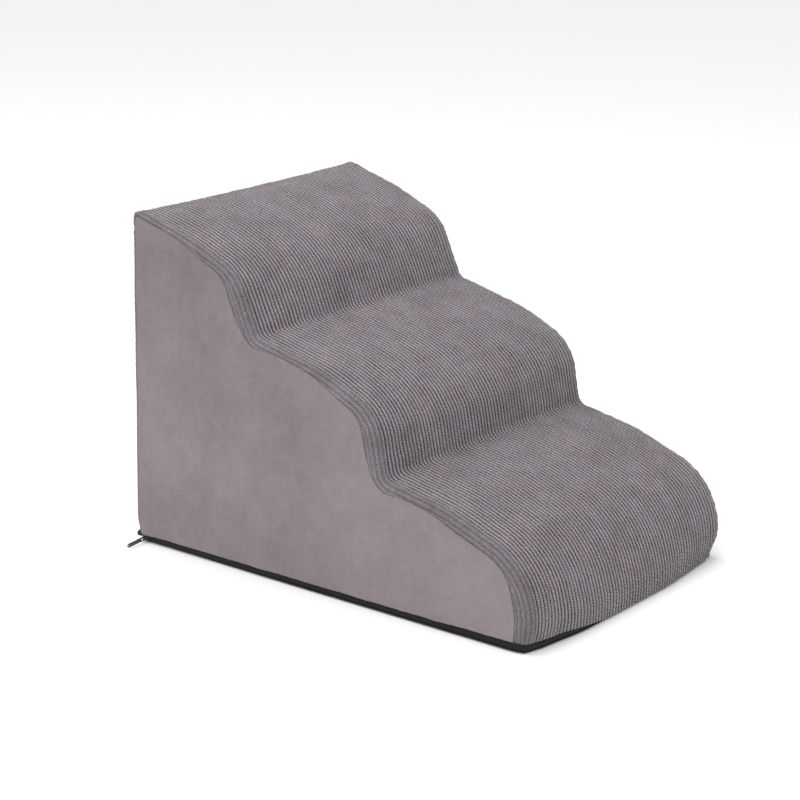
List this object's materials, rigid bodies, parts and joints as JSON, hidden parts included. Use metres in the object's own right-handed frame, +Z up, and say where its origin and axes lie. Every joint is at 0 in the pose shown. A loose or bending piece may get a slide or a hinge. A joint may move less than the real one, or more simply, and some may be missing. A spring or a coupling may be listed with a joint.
{
  "type": "dog ramp",
  "caption": "Foam pet ramp with rounded ribbed steps in a zip-off plush cover, for a dog to climb onto a sofa or bed.",
  "frame": {"origin": "middle of the footprint, on the floor", "axes": "+X towards the low front end where the dog steps on, +Y to the right of a dog that climbs towards -X, +Z up"},
  "size_m": [0.57, 0.4308, 0.4001],
  "materials": {
    "ribbed_cloth": "short grey plush in soft broken ribs that run down the ramp, matt",
    "plush_cloth": "smooth short warm grey plush, matt with a slight nap",
    "non_slip_cloth": "black woven base cloth with raised rubber dots",
    "foam": "cream open-cell polyurethane foam, wire-cut",
    "zip_tape": "black woven zip tape",
    "zip_coil": "black nylon coil, satin",
    "zip_metal": "black enamelled zinc, satin",
    "sewing_thread": "grey twisted polyester thread"
  },
  "bodies": {
    "ramp": {"back_panel": "plush_cloth", "foam_core": "foam", "left_side_panel": "plush_cloth", "non_slip_base_panel": "non_slip_cloth", "ribbed_top_panel": "ribbed_cloth", "right_side_panel": "plush_cloth", "thread_back_top_seam": "sewing_thread", "thread_base_back_seam": "sewing_thread", "thread_left_back_seam": "sewing_thread", "thread_left_top_seam": "sewing_thread", "thread_right_back_seam": "sewing_thread", "thread_right_top_seam": "sewing_thread", "thread_zip_lower": "sewing_thread", "thread_zip_upper": "sewing_thread", "zip_bottom_stop": "zip_metal", "zip_coil_lower": "zip_coil", "zip_coil_upper": "zip_coil", "zip_tape_lower": "zip_tape", "zip_tape_upper": "zip_tape", "zip_top_stop_lower": "zip_metal", "zip_top_stop_upper": "zip_metal"},
    "slider": {"slider_body": "zip_metal"},
    "pull_tab": {"pull_tab": "zip_metal"}
  },
  "joints": [
    {"name": "zip_slide", "type": "slide", "parent": "ramp", "child": "slider", "axis": [1, 0, 0], "range_m": [0, 0.53]},
    {"name": "pull_tab_swing", "type": "hinge", "parent": "slider", "child": "pull_tab", "pos_m": [-0.2713, -0.2014, 0.00605], "axis": [0, 0, 1], "range_deg": [-80, 80]}
  ]
}
